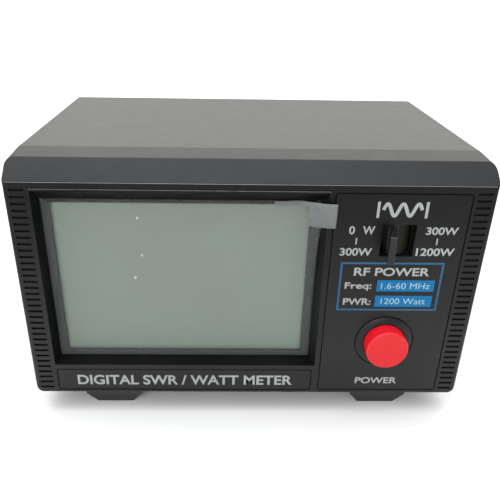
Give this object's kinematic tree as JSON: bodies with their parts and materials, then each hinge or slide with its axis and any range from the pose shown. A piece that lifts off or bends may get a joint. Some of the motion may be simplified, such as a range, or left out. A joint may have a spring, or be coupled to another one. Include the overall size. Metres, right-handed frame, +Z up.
{
  "type": "swr meter",
  "caption": "Desktop SWR and power meter: black front bezel with a display recess, lever range switch and red push button, folded steel case, rear coaxial sockets.",
  "frame": {"origin": "centre of the whole object's footprint box, on the surface that the feet stand on", "axes": "+X to the right seen from the front, +Y from the front face to the rear sockets, +Z up"},
  "size_m": [0.1598, 0.1282, 0.0968],
  "materials": {
    "bezel_plastic": "fine textured black moulding",
    "panel_plastic": "smooth satin black inlay",
    "display_frame": "dark slate frame",
    "display_glass": "grey-green liquid-crystal glass, unlit",
    "light_guide": "milky light guide",
    "clear_film": "clear protective film with a grey pull tab",
    "board": "green circuit board",
    "case_paint": "satin charcoal paint with a very fine texture",
    "lever_plastic": "black moulded lever",
    "switch_plastic": "dark switch body",
    "steel": "bright steel",
    "red_plastic": "satin red cap",
    "white_nylon": "natural nylon",
    "chip_plastic": "moulded chip package",
    "capacitor_sleeve": "shrink sleeve",
    "ribbon_plastic": "grey flat cable",
    "tinplate": "tinned sheet",
    "brass": "bright brass",
    "ferrite": "grey ferrite",
    "jack_plastic": "black jack body",
    "nickel": "nickel-plated brass",
    "black_screw": "black zinc-plated screw",
    "foot_rubber": "black moulded foot",
    "socket_insulator": "off-white fluoroplastic insulator"
  },
  "bodies": {
    "root": {"front_bezel": "bezel_plastic", "control_panel": "panel_plastic", "title_strip": "panel_plastic", "lcd_frame": "display_frame", "lcd_glass": "display_glass", "lcd_backlight": "light_guide", "screen_film": "clear_film", "display_board": "board", "main_board": "board", "coupler_board": "board", "top_cover": "case_paint", "bottom_chassis": "case_paint", "range_switch_body": "switch_plastic", "range_pivot_pin": "steel", "power_switch_body": "switch_plastic", "button_spring": "steel", "microcontroller": "chip_plastic", "smoothing_capacitor": "capacitor_sleeve", "ribbon_cable": "ribbon_plastic", "coupler_box": "tinplate", "coupler_lid": "tinplate", "through_line": "brass", "current_toroid": "ferrite", "supply_jack": "jack_plastic", "supply_jack_nut": "nickel", "board_post_1": "white_nylon", "board_post_2": "white_nylon", "board_post_3": "white_nylon", "board_post_4": "white_nylon", "bezel_screw_left": "black_screw", "cover_screw_left_front": "black_screw", "foot_front_left": "foot_rubber", "foot_screw_front_left": "black_screw", "cover_screw_left_rear": "black_screw", "foot_rear_left": "foot_rubber", "foot_screw_rear_left": "black_screw", "bezel_screw_right": "black_screw", "cover_screw_right_front": "black_screw", "foot_front_right": "foot_rubber", "foot_screw_front_right": "black_screw", "cover_screw_right_rear": "black_screw", "foot_rear_right": "foot_rubber", "foot_screw_rear_right": "black_screw", "transmitter_socket_shell": "nickel", "transmitter_socket_insulator": "socket_insulator", "transmitter_socket_contact": "brass", "transmitter_socket_screw_1": "steel", "transmitter_socket_screw_2": "steel", "transmitter_socket_screw_3": "steel", "transmitter_socket_screw_4": "steel", "antenna_socket_shell": "nickel", "antenna_socket_insulator": "socket_insulator", "antenna_socket_contact": "brass", "antenna_socket_screw_1": "steel", "antenna_socket_screw_2": "steel", "antenna_socket_screw_3": "steel", "antenna_socket_screw_4": "steel"},
    "range_lever": {"range_lever": "lever_plastic"},
    "power_button": {"power_button_cap": "red_plastic", "power_plunger": "white_nylon"}
  },
  "joints": [
    {"name": "range_select", "type": "hinge", "parent": "root", "child": "range_lever", "pos_m": [0.0477, -0.04931, 0.07195], "axis": [0, 0, 1], "range_deg": [0, 30]},
    {"name": "power_press", "type": "slide", "parent": "root", "child": "power_button", "axis": [0, 1, 0], "range_m": [0, 0.003], "stiffness_N_per_m": 400, "springref_m": -0.001, "deforming": ["button_spring"]}
  ]
}
